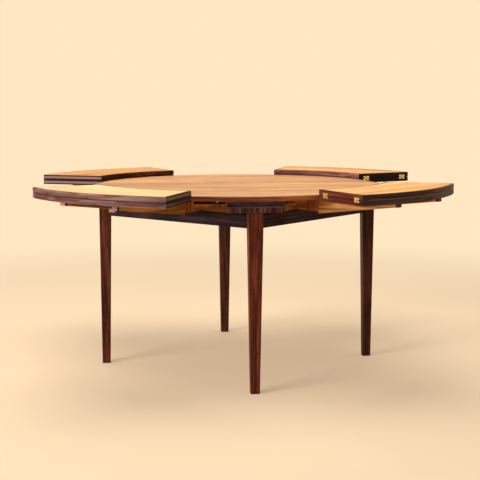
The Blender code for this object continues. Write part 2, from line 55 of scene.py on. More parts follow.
# Sizes that the frame doesn't give directly, in metres
RING_INNER_RADIUS = 0.607
RING_OUTER_RADIUS = 0.877
HALF_SECTOR = math.radians(22.5)
LAYER_THICKNESS = LEAF_FACE - LEAF_UNDERSIDE
LIPPING = 0.010
GLUE_LINE = 0.0008
BLOCK_LEDGE_DROP = 0.0213
BLOCK_LEDGE = TOP_UNDERSIDE - BLOCK_LEDGE_DROP
BLOCK_FLANK = 0.1046
CAP_STARTS = {"free_end": 0.8462, "hinge_end": 0.8337}
HINGE_FROM_INNER = 0.041
HINGE_FROM_OUTER = 0.034
HINGE_PLACES = {"inner": RING_INNER_RADIUS + HINGE_FROM_INNER, "outer": RING_OUTER_RADIUS - HINGE_FROM_OUTER}
RUNNER_INNER_END = 0.503
RUNNER_OFFSET = 0.137
RUNNER_WIDTH = 0.026
HINGE_PLATE_HEIGHT = 0.009
END_GAP = 0.001
TOUCH = 0.0003

# How far the painted lines reach from the edge or level that they follow, in metres. A pair is a soft edge
BACK_SKIN = 0.0004
SHOW_SKIN = 0.0007
JOINT_LINE = (0.0026, 0.0012)
LEDGE_LINE = 0.0012
FLANK_EDGE = (0.0, 0.0003)
HINGE_SLOT_HEIGHT = (0.0022, 0.0012)
HINGE_SLOT_START = (0.0068, 0.0088)
COUNTERSINK_EDGE = (0.0007, 0.0002)
PORE_RELIEF = 0.00012
BRUSH_RELIEF = 0.00002

# Screws of the hinges, one in each plate, at this share of its height
SCREW_SHARE = 0.66
SCREW_RADIUS = 0.0023
SCREW_RISE = 0.0004
SCREW_SLOT = 0.0008
SCREW_STEPS = 8
SCREW_TOP_SHARE = 0.9
SCREW_TURN = 0.6

# Edges of the small pieces that are sharper than this stay crisp
SHARP_ANGLE = math.radians(35)

# A small pale stud under the rim, left of the front leg
STUD_ANGLE = math.radians(256.0)
STUD_RADIUS_OUT = 0.577
STUD_RADIUS = 0.0045
STUD_DROP = 0.0035
STUD_SEGMENTS = 20
STUD_RINGS = 5

# The camera, which stands where the photograph's camera stood
CAMERA_PLACE = (-0.5149, -4.4701, 1.0864)
CAMERA_PITCH = math.radians(7.391)
CAMERA_YAW = math.radians(6.68)
CAMERA_LENS = 81.98
SENSOR = 36.0

# Light, surround and floor. Each lamp has its place, size, power and tint
AMBIENT = 0.30
AMBIENT_COLOUR = (1.0, 0.97, 0.93, 1)
SURROUND_COLOUR = (1.0, 0.80, 0.54, 1)
FLOOR_RADIUS = 14.0
FLOOR_FADE_START = 1.3
FLOOR_FADE_END = 4.0
FLOOR_LIFT = 0.34
FLOOR_SEGMENTS = 96
FLOOR_COLOUR = (0.92, 0.69, 0.45, 1)
LAMP_AIM = (0.0, 0.0, 0.62)
LAMPS = (
    ("window", (-6.2, -4.0, 1.6), (3.4, 2.2), 620, (0.98, 0.98, 1.0)),
    ("overhead", (-0.3, 0.4, 3.8), (3.0, 3.0), 116, (1.0, 0.98, 0.95)),
)

SIDES = ("front_left", "front_right", "back_right", "back_left")
SIDE_ANGLES = {name: math.radians(225 + 90 * k) for k, name in enumerate(SIDES)}
LEGS = ("left", "front", "right", "back")
LEG_ANGLES = {name: math.radians(180 + 90 * k) for k, name in enumerate(LEGS)}

# Grain of every wood: how fine it is along and across, and where its four tones stand in the figure
BAND_SCALE = (1.6, 24.0)
STREAK_SCALE = (7.0, 230.0)
GROWTH_SCALE = (0.9, 15.0)
PORE_SCALE = (55.0, 1500.0)
DRIFT_SCALE = (5.0, 30.0)
GROWTH_RINGS = 13.0
GROWTH_EDGE = (0.70, 0.97)
PORE_EDGE = (0.60, 0.72)
STREAK_SHARE = 0.34
FIGURE_RANGE = (0.35, 0.65)
TONE_STOPS = (0.34, 0.44, 0.51, 0.61)
SEED_STEPS = (1.0, 1.7, 2.3)
LIP_GRAIN = {"figure": 0.9, "lines": 0.75, "pores": 0.6}
LIP_DRIFT = (0.385, 0.505)
TOP_SWAY = 0.13
TOP_SWAY_SCALE = (2.4, 1.7)

# Finishes: how rough and how glossy each piece is
LEG_FINISH = (0.50, 0.10)
APRON_FINISH = (0.60, 0.05)
BLOCK_FINISH = (0.55, 0.06)
LEAF_FINISH = (0.52, 0.06)
TOP_FINISH = (0.44, 0.28)
RIM_FINISH = (0.40, 0.22)
RUNNER_FINISH = (0.52, 0.20)
INSIDE_FINISH = (0.55, 0.18)
PEG_FINISH = (0.46, 0.18)
FINISH_SPREAD = (-0.06, 0.07)

# Tones of each wood, from its darkest line to its palest, in linear RGB
# The legs: one wood, each leg's copy lighter or darker by how light falls on it, painted light and shade; the
# right leg darkest, the front lightest
LEG_LIGHT_AND_SHADE_TONES = {
    "left": (
        (0.014, 0.003, 0.002), (0.046, 0.009, 0.004), (0.076, 0.015, 0.007), (0.122, 0.028, 0.013),
    ),
    "front": (
        (0.016, 0.003, 0.001), (0.058, 0.010, 0.003), (0.096, 0.018, 0.006), (0.155, 0.033, 0.012),
    ),
    "right": (
        (0.010, 0.002, 0.001), (0.029, 0.006, 0.003), (0.049, 0.010, 0.005), (0.082, 0.020, 0.010),
    ),
    "back": (
        (0.010, 0.002, 0.001), (0.036, 0.009, 0.005), (0.062, 0.016, 0.009), (0.105, 0.029, 0.016),
    ),
}
EDGE_TONES = (
    (0.012, 0.004, 0.002), (0.054, 0.015, 0.008), (0.100, 0.030, 0.016), (0.175, 0.060, 0.034),
)
# Lit and shaded copies of the lipping's rosewood, painted light and shade: mauve is a painted sheen of the
# window on faces toward it, dusk is painted shade on faces turned away, and rose and the red-brown further
# down are painted light on faces toward the light
MAUVE_SHEEN_TONES = (
    (0.028, 0.012, 0.012), (0.106, 0.052, 0.048), (0.166, 0.090, 0.083), (0.250, 0.149, 0.140),
)
DUSK_SHADE_TONES = (
    (0.010, 0.005, 0.005), (0.038, 0.019, 0.019), (0.066, 0.035, 0.034), (0.116, 0.068, 0.064),
)
ROSE_LIT_TONES = (
    (0.034, 0.010, 0.007), (0.150, 0.050, 0.040), (0.235, 0.090, 0.072), (0.330, 0.145, 0.118),
)
BLACK_TONES = (
    (0.003, 0.002, 0.002), (0.010, 0.005, 0.006), (0.020, 0.010, 0.011), (0.046, 0.022, 0.022),
)
# Red-brown, painted light on a hinge end that faces the light
RED_LIT_TONES = (
    (0.012, 0.002, 0.001), (0.044, 0.007, 0.004), (0.078, 0.014, 0.008), (0.138, 0.032, 0.018),
)
TOP_TONES = (
    (0.200, 0.070, 0.020), (0.420, 0.175, 0.055), (0.600, 0.275, 0.096), (0.760, 0.390, 0.155),
)
RIM_TONES = (
    (0.040, 0.008, 0.003), (0.150, 0.034, 0.010), (0.260, 0.066, 0.020), (0.380, 0.115, 0.040),
)
APRON_TONES = {
    "front_left": BLACK_TONES,
    "front_right": (
        (0.004, 0.002, 0.002), (0.018, 0.008, 0.009), (0.038, 0.017, 0.018), (0.084, 0.039, 0.041),
    ),
    "back_right": BLACK_TONES,
    "back_left": BLACK_TONES,
}

# The painted pools of light on the aprons' ends by the left and right legs: which way each lies, how far out
# and how high, and its tone and strength
LIT_END_TURNS = {"front_left": -1.0, "front_right": 1.0, "back_right": -1.0, "back_left": 1.0}
LIT_END_REACH = (0.312, 0.330)
LIT_END_LEVELS = (0.624, 0.634)
LIT_END_COLOUR = (0.360, 0.230, 0.110)
LIT_END_STRENGTH = 0.75

# Tones of the blocks, the light inner wood, the runners' caps, the lipping from above and the pale backs
BLOCK_HIGH_TONES = (
    (0.005, 0.002, 0.003), (0.024, 0.010, 0.012), (0.048, 0.021, 0.024), (0.100, 0.048, 0.050),
)
BLOCK_LOW_TONES = (
    (0.004, 0.001, 0.001), (0.022, 0.006, 0.005), (0.054, 0.016, 0.012), (0.150, 0.055, 0.040),
)
HONEY_TONES = (
    (0.100, 0.029, 0.004), (0.228, 0.078, 0.009), (0.328, 0.122, 0.016), (0.450, 0.190, 0.031),
)
CAP_TONES = (
    (0.070, 0.024, 0.020), (0.190, 0.082, 0.070), (0.290, 0.140, 0.120), (0.420, 0.230, 0.200),
)
LIP_TOP = (0.200, 0.076, 0.026)
# The pale backs: a real pale veneer, with painted light in the differences between the leaves: the front left
# one paler with a painted sheen of the window, the back ones darker in painted shade
PALE_LIT_TONES = {
    "front_left": (
        (0.560, 0.300, 0.100), (0.780, 0.500, 0.215), (0.890, 0.620, 0.300), (0.960, 0.730, 0.410),
    ),
    "front_right": (
        (0.560, 0.200, 0.050), (0.780, 0.360, 0.110), (0.900, 0.460, 0.160), (0.960, 0.580, 0.250),
    ),
    "back_right": (
        (0.480, 0.173, 0.043), (0.675, 0.308, 0.101), (0.790, 0.395, 0.140), (0.870, 0.500, 0.212),
    ),
    "back_left": (
        (0.430, 0.150, 0.036), (0.600, 0.260, 0.078), (0.700, 0.335, 0.106), (0.790, 0.435, 0.168),
    ),
}

# The line between the two layers, as it shows on each leaf's outer arc: painted shade in the gap between
# them, and on the front right leaf a painted highlight
JOINT_LIGHT_AND_SHADE_TONES = {
    "front_left": EDGE_TONES[0], "front_right": (0.200, 0.120, 0.075),
    "back_right": EDGE_TONES[0], "back_left": EDGE_TONES[0],
}

# How light and shade are painted on each leaf's lipping, by which way each face looks: its outer arc, inner
# arc and hinge end, and the band on its free end
EDGE_LIGHT_LOOKS = {
    "front_left": (MAUVE_SHEEN_TONES, EDGE_TONES, EDGE_TONES, (0.210, 0.115, 0.056)),
    "front_right": (DUSK_SHADE_TONES, EDGE_TONES, RED_LIT_TONES, (0.110, 0.056, 0.026)),
    "back_right": (DUSK_SHADE_TONES, ROSE_LIT_TONES, BLACK_TONES, (0.180, 0.080, 0.060)),
    "back_left": (MAUVE_SHEEN_TONES, EDGE_TONES, EDGE_TONES, (0.250, 0.130, 0.120)),
}

# A layer's free end, painted as a lit moulding: its pale band's soft edges as shares of its thickness, and
# how much painted light each lower layer's end gets
END_BAND_LOW = (0.23, 0.30)
END_BAND_HIGH = (0.77, 0.70)
END_BAND_STRENGTH = 0.7
END_DULL_STRENGTH = 0.6
END_DARK_STRENGTH = 0.95
LEAF_END_LIGHT = {"front_left": 0.35, "front_right": 0.35, "back_right": 0.35, "back_left": 1.0}
FLAP_END_LIGHT = 1.0

# How strongly the glue line, the lipping's tone from above and the blocks' lit ledge and flanks show
GLUE_STRENGTH = 0.8
LIP_TOP_STRENGTH = 0.7
LEDGE_LIGHT_STRENGTH = 0.55
FLANK_LIGHT_STRENGTH = 0.6

# Tones of the runners' inner boards and of their caps: the darker brown boards and black caps under the right
# leaves are painted shade, and the pink caps under the left leaves are lit copies, painted light
BOARD_SHADE_LOOKS = {
    "front_left": HONEY_TONES, "front_right": RIM_TONES,
    "back_right": RIM_TONES, "back_left": HONEY_TONES,
}
CAP_LIGHT_AND_SHADE_LOOKS = {
    "front_left": CAP_TONES, "front_right": BLACK_TONES,
    "back_right": BLACK_TONES, "back_left": CAP_TONES,
}

# Old brass, the screws and the stud
BRASS_STOPS = (0.30, 0.46, 0.66)
BRASS_TONES = ((0.30, 0.17, 0.035), (0.74, 0.50, 0.15), (0.92, 0.70, 0.30))
SLOT_COLOUR = (0.020, 0.010, 0.004)
SCREW_RAMP = ((0.4, (0.045, 0.030, 0.016)), (0.7, (0.220, 0.150, 0.070)))
STUD_RAMP = ((0.3, (0.55, 0.42, 0.28)), (0.7, (0.85, 0.74, 0.58)))
PATINA_SCALE = (90.0, 90.0)
PATINA_RANGE = (0.3, 0.7)
BRUSH_SCALE = (300.0, 2500.0)
WEAR_SCALE = (900.0, 900.0)
STUD_SCALE = 400.0
BRASS_METALLIC = 0.8
BRASS_ROUGHNESS = (0.50, 0.32)
SCREW_METALLIC = 0.7
SCREW_ROUGHNESS = 0.45
STUD_ROUGHNESS = 0.4
FLOOR_ROUGHNESS = 0.9


class Nodes:
    """Short calls for building one material's nodes."""

    def __init__(self, name):
        self.material = bpy.data.materials.new(name)
        self.material.use_nodes = True
        self.tree = self.material.node_tree
        self.shader = self.tree.nodes["Principled BSDF"]

    def put(self, socket, value):
        if isinstance(value, bpy.types.NodeSocket):
            self.tree.links.new(value, socket)
        else:
            socket.default_value = value

    def node(self, kind, inputs=(), **settings):
        made = self.tree.nodes.new(kind)
        for key, value in settings.items():
            setattr(made, key, value)
        for key, value in dict(inputs).items():
            self.put(made.inputs[key], value)
        return made

    def math(self, operation, a, b=0.0, c=0.0):
        return self.node("ShaderNodeMath", {0: a, 1: b, 2: c}, operation=operation).outputs[0]

    def between(self, value, low, high, to_low=0.0, to_high=1.0):
        """Value taken smoothly from one range to another."""
        made = self.node("ShaderNodeMapRange", {"Value": value, "From Min": low, "From Max": high,
                                                "To Min": to_low, "To Max": to_high})
        made.interpolation_type = "SMOOTHSTEP"
        return made.outputs["Result"]

    def vector(self, x, y, z):
        return self.node("ShaderNodeCombineXYZ", {"X": x, "Y": y, "Z": z}).outputs[0]

    def mix_values(self, kind, factor, a, b):
        made = self.node("ShaderNodeMix", data_type=kind)
        self.put(made.inputs["Factor"], factor)
        self.put(made.inputs["A"], a)
        self.put(made.inputs["B"], b)
        return made.outputs["Result"]

    def mix(self, factor, a, b):
        """Two colours mixed, each a socket or a plain RGB tone."""
        a, b = (end if isinstance(end, bpy.types.NodeSocket) else (*end, 1) for end in (a, b))
        return self.mix_values("RGBA", factor, a, b)

    def noise(self, where, detail=3.0, roughness=0.55, distortion=0.0):
        made = self.node("ShaderNodeTexNoise", {"Vector": where, "Scale": 1.0, "Detail": detail,
                                                "Roughness": roughness, "Distortion": distortion})
        return made.outputs["Fac"]

    def ramp(self, factor, stops):
        made = self.node("ShaderNodeValToRGB", {"Fac": factor})
        elements = made.color_ramp.elements
        while len(elements) < len(stops):
            elements.new(0.5)
        for element, (place, colour) in zip(elements, stops):
            element.position = place
            element.color = (*colour, 1)
        return made.outputs["Color"]

    def local(self, angle):
        """The coordinates (u, w, z) of a piece that stands at an angle round the table."""
        place = self.node("ShaderNodeTexCoord").outputs["Object"]
        turn = self.node("ShaderNodeVectorRotate", {"Vector": place, "Angle": -angle}, rotation_type="Z_AXIS")
        split = self.node("ShaderNodeSeparateXYZ", {"Vector": turn.outputs[0]})
        return split.outputs[0], split.outputs[1], split.outputs[2]

    def scaled(self, along, across, depth, lengthwise, crosswise, seed=0.0):
        """A grain space: scaled little along the grain and much across it."""
        starts = [seed * step for step in SEED_STEPS]
        return self.vector(self.math("MULTIPLY_ADD", along, lengthwise, starts[0]),
                           self.math("MULTIPLY_ADD", across, crosswise, starts[1]),
                           self.math("MULTIPLY_ADD", depth, crosswise, starts[2]))

    def near(self, value, level, reach):
        """1 where a value is within reach of a level, and otherwise 0."""
        gap = self.math("ABSOLUTE", self.math("SUBTRACT", value, level))
        return self.math("LESS_THAN", gap, reach)


def wood(nodes, along, across, depth, tones, seed=0.0, figure=1.0, lines=0.5, pores=0.5):
    """Colour, height and figure of a wood: broad bands, growth lines, streaks and pores, all along the grain.

    figure scales the width of the bands, and lines and pores are how strong the dark ones are.
    """
    grain = (along, across, depth)
    dark = tones[0]
    band_scale = [scale / figure for scale in BAND_SCALE]
    bands = nodes.noise(nodes.scaled(*grain, *band_scale, seed), 4.0, 0.55, 0.6)
    streaks = nodes.noise(nodes.scaled(*grain, *STREAK_SCALE, seed + 3.1), 3.0, 0.6)
    broad = nodes.math("MULTIPLY", bands, 1 - STREAK_SHARE)
    blend = nodes.math("MULTIPLY_ADD", streaks, STREAK_SHARE, broad)
    colour = nodes.ramp(blend, tuple(zip(TONE_STOPS, tones)))

    growth_scale = [scale / figure for scale in GROWTH_SCALE]
    growth = nodes.noise(nodes.scaled(*grain, *growth_scale, seed + 9.4), 2.0, 0.5, 0.4)
    rings = nodes.math("FRACT", nodes.math("MULTIPLY", growth, GROWTH_RINGS))
    line = nodes.math("MULTIPLY", nodes.between(rings, *GROWTH_EDGE), lines)
    colour = nodes.mix(line, colour, dark)

    pore = nodes.noise(nodes.scaled(*grain, *PORE_SCALE, seed + 5.7), 2.0, 0.5)
    pore = nodes.between(pore, *PORE_EDGE)
    colour = nodes.mix(nodes.math("MULTIPLY", pore, pores), colour, dark)
    height = nodes.math("SUBTRACT", nodes.math("MULTIPLY", streaks, 0.5), nodes.math("MULTIPLY", pore, 0.5))
    return colour, height, blend


def finish(nodes, colour, height, relief_depth):
    """Joins a colour and a fine relief to the surface."""
    nodes.put(nodes.shader.inputs["Base Color"], colour)
    relief = nodes.node("ShaderNodeBump", {"Strength": 1.0, "Distance": relief_depth, "Height": height})
    nodes.put(nodes.shader.inputs["Normal"], relief.outputs[0])
    return nodes.material


def finish_wood(nodes, colour, height, blend, wood_finish):
    """Sets the surface: satin, a little rougher on the pale grain, with the pores as a fine relief."""
    roughness, specular = wood_finish
    smooth, rough = (roughness + step for step in FINISH_SPREAD)
    nodes.put(nodes.shader.inputs["Roughness"], nodes.between(blend, *FIGURE_RANGE, smooth, rough))
    nodes.shader.inputs["Specular IOR Level"].default_value = specular
    return finish(nodes, colour, height, PORE_RELIEF)


def straight_wood(name, angle, direction, tones, seed, wood_finish, **grain):
    """A wood with its grain outward, sideways or upright."""
    nodes = Nodes(name)
    u, w, z = nodes.local(angle)
    along, across, depth = {"outward": (u, w, z), "sideways": (w, z, u), "upright": (z, w, u)}[direction]
    colour, height, blend = wood(nodes, along, across, depth, tones, seed, **grain)
    return finish_wood(nodes, colour, height, blend, wood_finish)


def apron_wood(side, angle, seed):
    """Nearly black wood, with a painted pool of light at its end by the left or right leg."""
    nodes = Nodes(f"apron_wood_{side}")
    u, w, z = nodes.local(angle)
    colour, height, blend = wood(nodes, w, z, u, APRON_TONES[side], seed, figure=0.6, lines=0.7)
    # Painted light: a pale patch at the apron's end by the leg, where light falls
    to_end = nodes.math("MULTIPLY", w, LIT_END_TURNS[side])
    lit_share = nodes.math("MULTIPLY", nodes.between(to_end, *LIT_END_REACH), nodes.between(z, *LIT_END_LEVELS))
    colour = nodes.mix(nodes.math("MULTIPLY", lit_share, LIT_END_STRENGTH), colour, LIT_END_COLOUR)
    return finish_wood(nodes, colour, height, blend, APRON_FINISH)


def ring_coordinates(nodes, u, w):
    """Radius, and the angle round the ring, which is zero on the piece's middle line."""
    radius = nodes.math("SQRT", nodes.math("ADD", nodes.math("MULTIPLY", u, u), nodes.math("MULTIPLY", w, w)))
    turn = nodes.math("ARCTAN2", w, u)
    return radius, turn


def end_bands(nodes, colour, z, low_level, tone, lit_share):
    """The moulded look of a layer's free end, painted: a band of painted light between two lines of painted
    shade, paler on the ends that face the light.
    """
    share = nodes.math("DIVIDE", nodes.math("SUBTRACT", z, low_level), LAYER_THICKNESS)
    band = nodes.math("MULTIPLY", nodes.between(share, *END_BAND_LOW), nodes.between(share, *END_BAND_HIGH))
    pale = nodes.mix(END_BAND_STRENGTH, colour, tone)
    dull = nodes.mix(END_DULL_STRENGTH, colour, BLACK_TONES[1])
    dark = nodes.mix(END_DARK_STRENGTH, colour, BLACK_TONES[0])
    return nodes.mix(band, dark, nodes.mix(lit_share, dull, pale))


def layer_wood(name, side, angle, low_level, back_level, seed, lit_share):
    """A leaf layer: pale veneer on its back, rosewood on its show face, and rosewood lipping all round."""
    nodes = Nodes(name)
    u, w, z = nodes.local(angle)
    radius, turn = ring_coordinates(nodes, u, w)
    from_end = nodes.math("MULTIPLY", radius, nodes.math("SINE", nodes.math(
        "SUBTRACT", HALF_SECTOR, nodes.math("ABSOLUTE", turn))))
    from_rim = nodes.math("MINIMUM", nodes.math("SUBTRACT", RING_OUTER_RADIUS, radius),
                          nodes.math("SUBTRACT", radius, RING_INNER_RADIUS))
    margin = nodes.math("MINIMUM", from_end, from_rim)
    broad = nodes.math("GREATER_THAN", margin, LIPPING)
    on_back = nodes.near(z, back_level, BACK_SKIN)

    pale, pale_height, blend = wood(nodes, w, u, z, PALE_LIT_TONES[side], seed, figure=1.5, lines=0.22, pores=0.3)
    show, show_height, _ = wood(nodes, w, u, z, TOP_TONES, seed + 20, figure=1.6, lines=0.4)
    face = nodes.mix(on_back, show, pale)
    face_height = nodes.mix_values("FLOAT", on_back, show_height, pale_height)
    glue = nodes.near(margin, LIPPING, GLUE_LINE)
    face = nodes.mix(nodes.math("MULTIPLY", glue, GLUE_STRENGTH), face, EDGE_TONES[0])

    arc = nodes.math("MULTIPLY", turn, RING_OUTER_RADIUS)
    at_end = nodes.math("LESS_THAN", from_end, nodes.math("MINIMUM", from_rim, LIPPING))
    place = nodes.mix_values("VECTOR", at_end, nodes.vector(arc, radius, z), nodes.vector(radius, arc, z))
    grain = nodes.node("ShaderNodeSeparateXYZ", {"Vector": place}).outputs
    # Each face of the lipping takes a lit or shaded copy of the rosewood by which way it looks: painted light
    # and shade, with a painted sheen on the outer arcs toward the window, spread in patches by the drift
    # below
    outer_tones, inner_tones, hinge_tones, band_tone = EDGE_LIGHT_LOOKS[side]
    brown, lip_height, _ = wood(nodes, *grain, EDGE_TONES, seed + 40, **LIP_GRAIN)
    outer, _, _ = wood(nodes, *grain, outer_tones, seed + 44, **LIP_GRAIN)
    inner, _, _ = wood(nodes, *grain, inner_tones, seed + 48, **LIP_GRAIN)
    hinge, _, _ = wood(nodes, *grain, hinge_tones, seed + 52, **{**LIP_GRAIN, "figure": 0.7})
    drift = nodes.noise(nodes.scaled(*grain, *DRIFT_SCALE, seed + 31), 2.0, 0.5)
    lip = nodes.mix(nodes.between(drift, *LIP_DRIFT), brown, outer)
    lip = nodes.mix(nodes.math("LESS_THAN", radius, RING_INNER_RADIUS + LIPPING), lip, inner)
    # The free end takes the painted light and shade of a moulding
    free = nodes.math("MULTIPLY", at_end, nodes.math("GREATER_THAN", turn, 0.0))
    lip = nodes.mix(free, lip, end_bands(nodes, lip, z, low_level, band_tone, lit_share))
    hinged = nodes.math("MULTIPLY", at_end, nodes.math("LESS_THAN", turn, 0.0))
    lip = nodes.mix(hinged, lip, hinge)
    # Painted shade along the joint between the two layers; on the front right leaf's outer arc a painted
    # highlight instead
    from_joint = nodes.math("ABSOLUTE", nodes.math("SUBTRACT", z, HINGE_LEVEL))
    on_arc = nodes.math("GREATER_THAN", radius, RING_OUTER_RADIUS - TOUCH)
    line = nodes.mix(on_arc, EDGE_TONES[0], JOINT_LIGHT_AND_SHADE_TONES[side])
    lip = nodes.mix(nodes.between(from_joint, *JOINT_LINE), lip, line)
    on_face = nodes.math("MAXIMUM", on_back, nodes.math("LESS_THAN", from_joint, SHOW_SKIN))
    lip = nodes.mix(on_face, lip, nodes.mix(LIP_TOP_STRENGTH, brown, LIP_TOP))

    colour = nodes.mix(broad, lip, face)
    height = nodes.mix_values("FLOAT", broad, lip_height, face_height)
    return finish_wood(nodes, colour, height, blend, LEAF_FINISH)


def top_panel_wood():
    """The top's veneer: broad wavy figure that runs from side to side."""
    nodes = Nodes("top_veneer")
    u, w, z = nodes.local(0.0)
    sideways, outward = TOP_SWAY_SCALE
    place = nodes.vector(nodes.math("MULTIPLY", u, sideways), nodes.math("MULTIPLY", w, outward), 0.0)
    sway = nodes.noise(place, 2.0, 0.4)
    across = nodes.math("MULTIPLY_ADD", sway, TOP_SWAY, w)
    colour, height, blend = wood(nodes, u, across, z, TOP_TONES, 2.0, figure=1.35, lines=0.62, pores=0.65)
    return finish_wood(nodes, colour, height, blend, TOP_FINISH)


def band_wood():
    """The top's solid edge band, with its grain round the rim."""
    nodes = Nodes("edge_band")
    u, w, z = nodes.local(0.0)
    radius, turn = ring_coordinates(nodes, u, w)
    along = nodes.math("MULTIPLY", turn, TOP_RADIUS)
    colour, height, blend = wood(nodes, along, z, radius, RIM_TONES, 4.0, figure=0.8, lines=0.5)
    return finish_wood(nodes, colour, height, blend, RIM_FINISH)


def block_wood(name, angle, seed):
    """A block over a leg: sideways grain above, upright end grain along its lower band."""
    nodes = Nodes(name)
    u, w, z = nodes.local(angle)
    upper, upper_height, blend = wood(nodes, w, z, u, BLOCK_HIGH_TONES, seed, figure=0.35, lines=0.7)
    lower, lower_height, _ = wood(nodes, z, w, u, BLOCK_LOW_TONES, seed + 6, figure=0.4, lines=0.7, pores=0.7)
    is_lower = nodes.math("LESS_THAN", z, BLOCK_LEDGE)
    colour = nodes.mix(is_lower, upper, lower)
    # Painted highlight along the ledge between the two bands
    ledge = nodes.near(z, BLOCK_LEDGE, LEDGE_LINE)
    colour = nodes.mix(nodes.math("MULTIPLY", ledge, LEDGE_LIGHT_STRENGTH), colour, CAP_TONES[1])
    # Painted light on the block's end faces, its flanks
    flank = nodes.between(nodes.math("SUBTRACT", nodes.math("ABSOLUTE", w), BLOCK_FLANK), *FLANK_EDGE)
    colour = nodes.mix(nodes.math("MULTIPLY", flank, FLANK_LIGHT_STRENGTH), colour, CAP_TONES[1])
    height = nodes.mix_values("FLOAT", is_lower, upper_height, lower_height)
    return finish_wood(nodes, colour, height, blend, BLOCK_FINISH)


def runner_wood(name, side, angle, cap_start, seed):
    """A runner: a honey-coloured bar with its board inward and a small rosewood cap on its outer end."""
    nodes = Nodes(name)
    u, w, z = nodes.local(angle)
    colour, height, blend = wood(nodes, u, w, z, HONEY_TONES, seed, figure=0.8, lines=0.3, pores=0.3)
    # The inner board: honey under the left leaves, a darker brown under the right leaves as painted shade
    board, _, _ = wood(nodes, z, w, u, BOARD_SHADE_LOOKS[side], seed + 4, figure=0.8, lines=0.5, pores=0.4)
    colour = nodes.mix(nodes.math("LESS_THAN", u, RUNNER_INNER_END - TOUCH), colour, board)
    cap, _, _ = wood(nodes, w, z, u, CAP_LIGHT_AND_SHADE_LOOKS[side], seed + 8, figure=0.3, lines=0.4)
    # The cap's side faces are painted nearly black: painted shade on the sides that look away from the light
    from_middle = nodes.math("ABSOLUTE", nodes.math("SUBTRACT", nodes.math("ABSOLUTE", w), RUNNER_OFFSET))
    cap = nodes.mix(nodes.math("GREATER_THAN", from_middle, RUNNER_WIDTH / 2 - TOUCH), cap, BLACK_TONES[1])
    colour = nodes.mix(nodes.math("GREATER_THAN", u, cap_start), colour, cap)
    return finish_wood(nodes, colour, height, blend, RUNNER_FINISH)


def brass(side, angle, place, middle):
    """Old brass: brushed, dull where dirt sits, and dark beside the knuckles and round the screws."""
    nodes = Nodes(f"old_brass_{side}_{place}")
    u, w, z = nodes.local(angle - HALF_SECTOR)
    patina = nodes.noise(nodes.scaled(u, w, z, *PATINA_SCALE), 4.0, 0.6)
    brushed = nodes.noise(nodes.scaled(u, w, z, *BRUSH_SCALE), 2.0, 0.5)
    colour = nodes.ramp(patina, tuple(zip(BRASS_STOPS, BRASS_TONES)))

    from_middle = nodes.math("ABSOLUTE", nodes.math("SUBTRACT", u, middle))
    from_line = nodes.math("ABSOLUTE", nodes.math("SUBTRACT", z, HINGE_LEVEL))
    beside = nodes.math("MULTIPLY", nodes.between(from_line, *HINGE_SLOT_HEIGHT),
                        nodes.between(from_middle, *HINGE_SLOT_START))
    rise = nodes.math("SUBTRACT", from_line, SCREW_SHARE * HINGE_PLATE_HEIGHT)
    from_screw = nodes.math("SQRT", nodes.math("ADD", nodes.math("MULTIPLY", rise, rise),
                                               nodes.math("MULTIPLY", from_middle, from_middle)))
    countersink = nodes.between(from_screw, *(SCREW_RADIUS + edge for edge in COUNTERSINK_EDGE))
    colour = nodes.mix(nodes.math("MAXIMUM", beside, countersink), colour, SLOT_COLOUR)
    nodes.shader.inputs["Metallic"].default_value = BRASS_METALLIC
    nodes.put(nodes.shader.inputs["Roughness"], nodes.between(patina, *PATINA_RANGE, *BRASS_ROUGHNESS))
    return finish(nodes, colour, brushed, BRUSH_RELIEF)


def screw_metal():
    """Blackened brass of the screw heads."""
    nodes = Nodes("screw_metal")
    place = nodes.node("ShaderNodeTexCoord").outputs["Object"]
    x, y, z = nodes.node("ShaderNodeSeparateXYZ", {"Vector": place}).outputs
    wear = nodes.noise(nodes.scaled(x, y, z, *WEAR_SCALE), 2.0, 0.5)
    colour = nodes.ramp(wear, SCREW_RAMP)
    nodes.put(nodes.shader.inputs["Base Color"], colour)
    nodes.shader.inputs["Metallic"].default_value = SCREW_METALLIC
    nodes.shader.inputs["Roughness"].default_value = SCREW_ROUGHNESS
    return nodes.material


def dress(node, material):
    """Puts one material on every slot of a frame node."""
    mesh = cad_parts[node].data
    mesh.materials.clear()
    mesh.materials.append(material)


